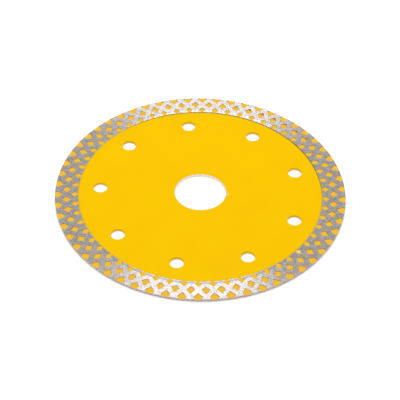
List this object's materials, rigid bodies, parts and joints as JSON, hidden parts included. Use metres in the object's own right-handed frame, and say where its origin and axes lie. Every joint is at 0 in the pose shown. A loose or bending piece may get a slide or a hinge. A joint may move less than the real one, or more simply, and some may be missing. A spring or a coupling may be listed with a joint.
{
  "type": "diamond cutting disc",
  "caption": "Thin diamond cutting disc: a flat painted steel core with an arbor bore and cooling holes, and a sintered diamond rim with a lattice of raised ribs on each face.",
  "frame": {"origin": "centre of the arbor bore, at half the disc's thickness", "axes": "+Z is the disc's axis and points out of the upper face; -Y passes through the centre of a cooling hole"},
  "size_m": [0.125, 0.125, 0.0014],
  "materials": {
    "painted_core": "gloss",
    "sintered_rim": "ground"
  },
  "bodies": {
    "root": {"steel_core": "painted_core", "diamond_rim": "sintered_rim"}
  },
  "joints": []
}
